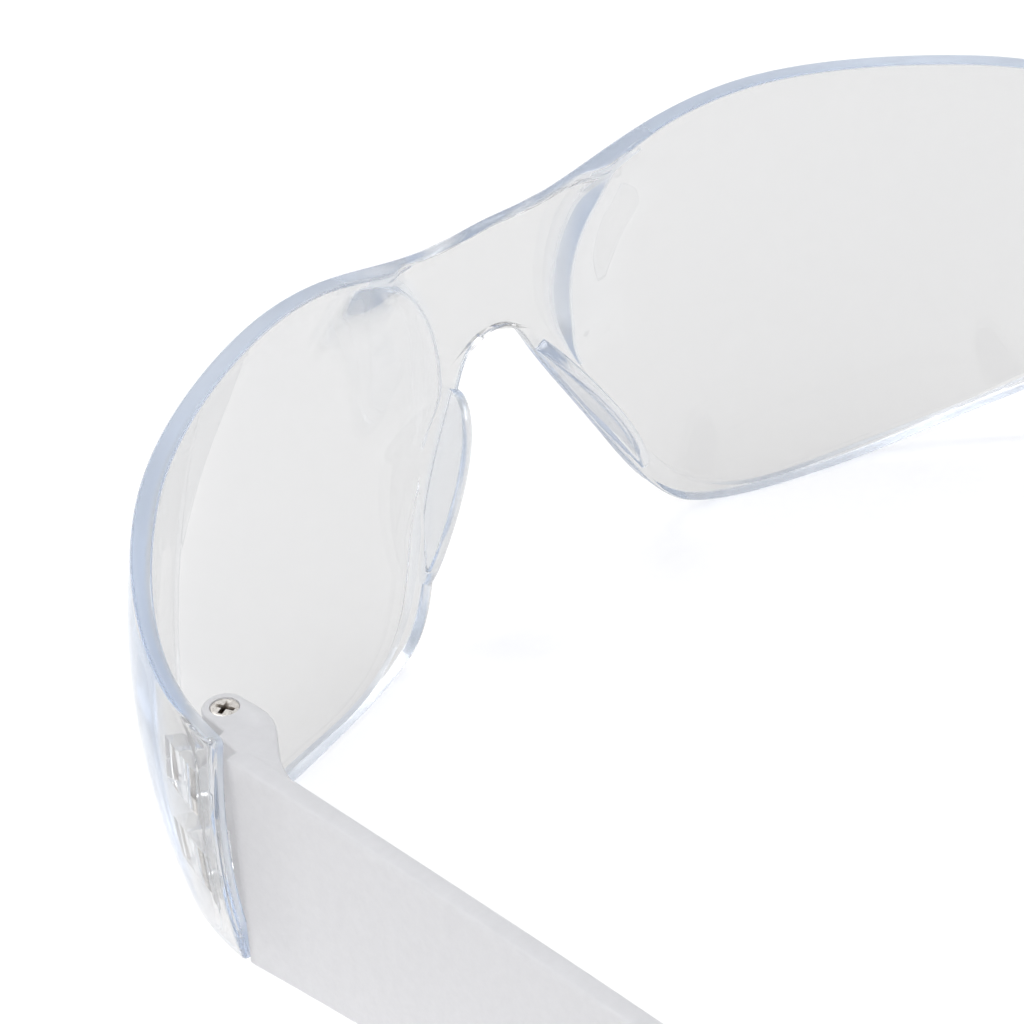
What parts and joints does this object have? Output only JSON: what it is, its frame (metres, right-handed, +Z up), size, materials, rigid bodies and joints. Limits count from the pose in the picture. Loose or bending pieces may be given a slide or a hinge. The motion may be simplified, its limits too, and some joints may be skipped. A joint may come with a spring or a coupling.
{
  "type": "safety glasses",
  "caption": "Clear wraparound safety glasses: one moulded visor with nose pads and two frosted temples that fold inward on hinge screws.",
  "frame": {"origin": "centre of the whole object's box in X and Y, on the surface that it rests on", "axes": "+X towards the wearer's left, +Y backwards along the temples, so the lenses face -Y, +Z up"},
  "size_m": [0.1396, 0.1578, 0.0458],
  "materials": {
    "clear_polycarbonate": "clear, polished, faintly blue at the edges",
    "frosted_polycarbonate": "fine frosted, milky and translucent",
    "screw_steel": "plain steel, slightly worn recess"
  },
  "bodies": {
    "visor": {"visor": "clear_polycarbonate"},
    "temple_left": {"temple_left": "frosted_polycarbonate", "hinge_screw_left": "screw_steel"},
    "temple_right": {"temple_right": "frosted_polycarbonate", "hinge_screw_right": "screw_steel"}
  },
  "joints": [
    {"name": "fold_left", "type": "hinge", "parent": "visor", "child": "temple_left", "pos_m": [0.0639, -0.03771, 0.0375], "axis": [0, 0, 1], "range_deg": [0, 95]},
    {"name": "fold_right", "type": "hinge", "parent": "visor", "child": "temple_right", "pos_m": [-0.0639, -0.03771, 0.0375], "axis": [0, 0, -1], "range_deg": [0, 84]}
  ]
}
